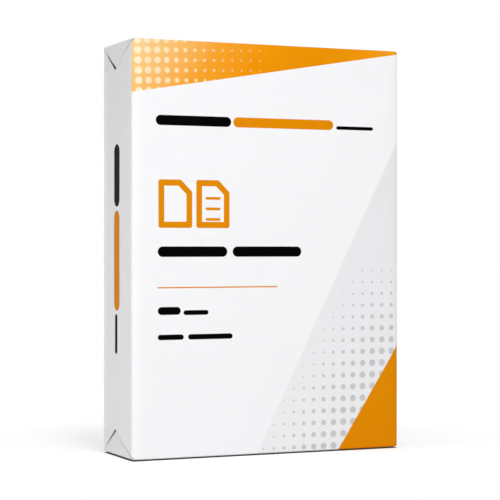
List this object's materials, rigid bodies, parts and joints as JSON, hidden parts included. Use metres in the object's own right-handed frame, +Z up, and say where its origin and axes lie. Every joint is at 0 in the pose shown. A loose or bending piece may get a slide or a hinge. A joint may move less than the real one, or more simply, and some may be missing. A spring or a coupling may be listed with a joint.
{
  "type": "ream of paper",
  "caption": "Sealed ream of copy paper in a smooth printed wrapper, folded shut on its two long sides and standing on a short edge.",
  "frame": {"origin": "middle of the foot, on the surface that the pack stands on", "axes": "+Z up along the pack's height, -Y out of the printed front, +X to the right of someone who faces the front"},
  "size_m": [0.213, 0.064, 0.298],
  "materials": {
    "wrapper": "smooth coated paper, satin, with printed fields of orange and pale grey"
  },
  "bodies": {
    "root": {"wrapped_ream": "wrapper"}
  },
  "joints": []
}
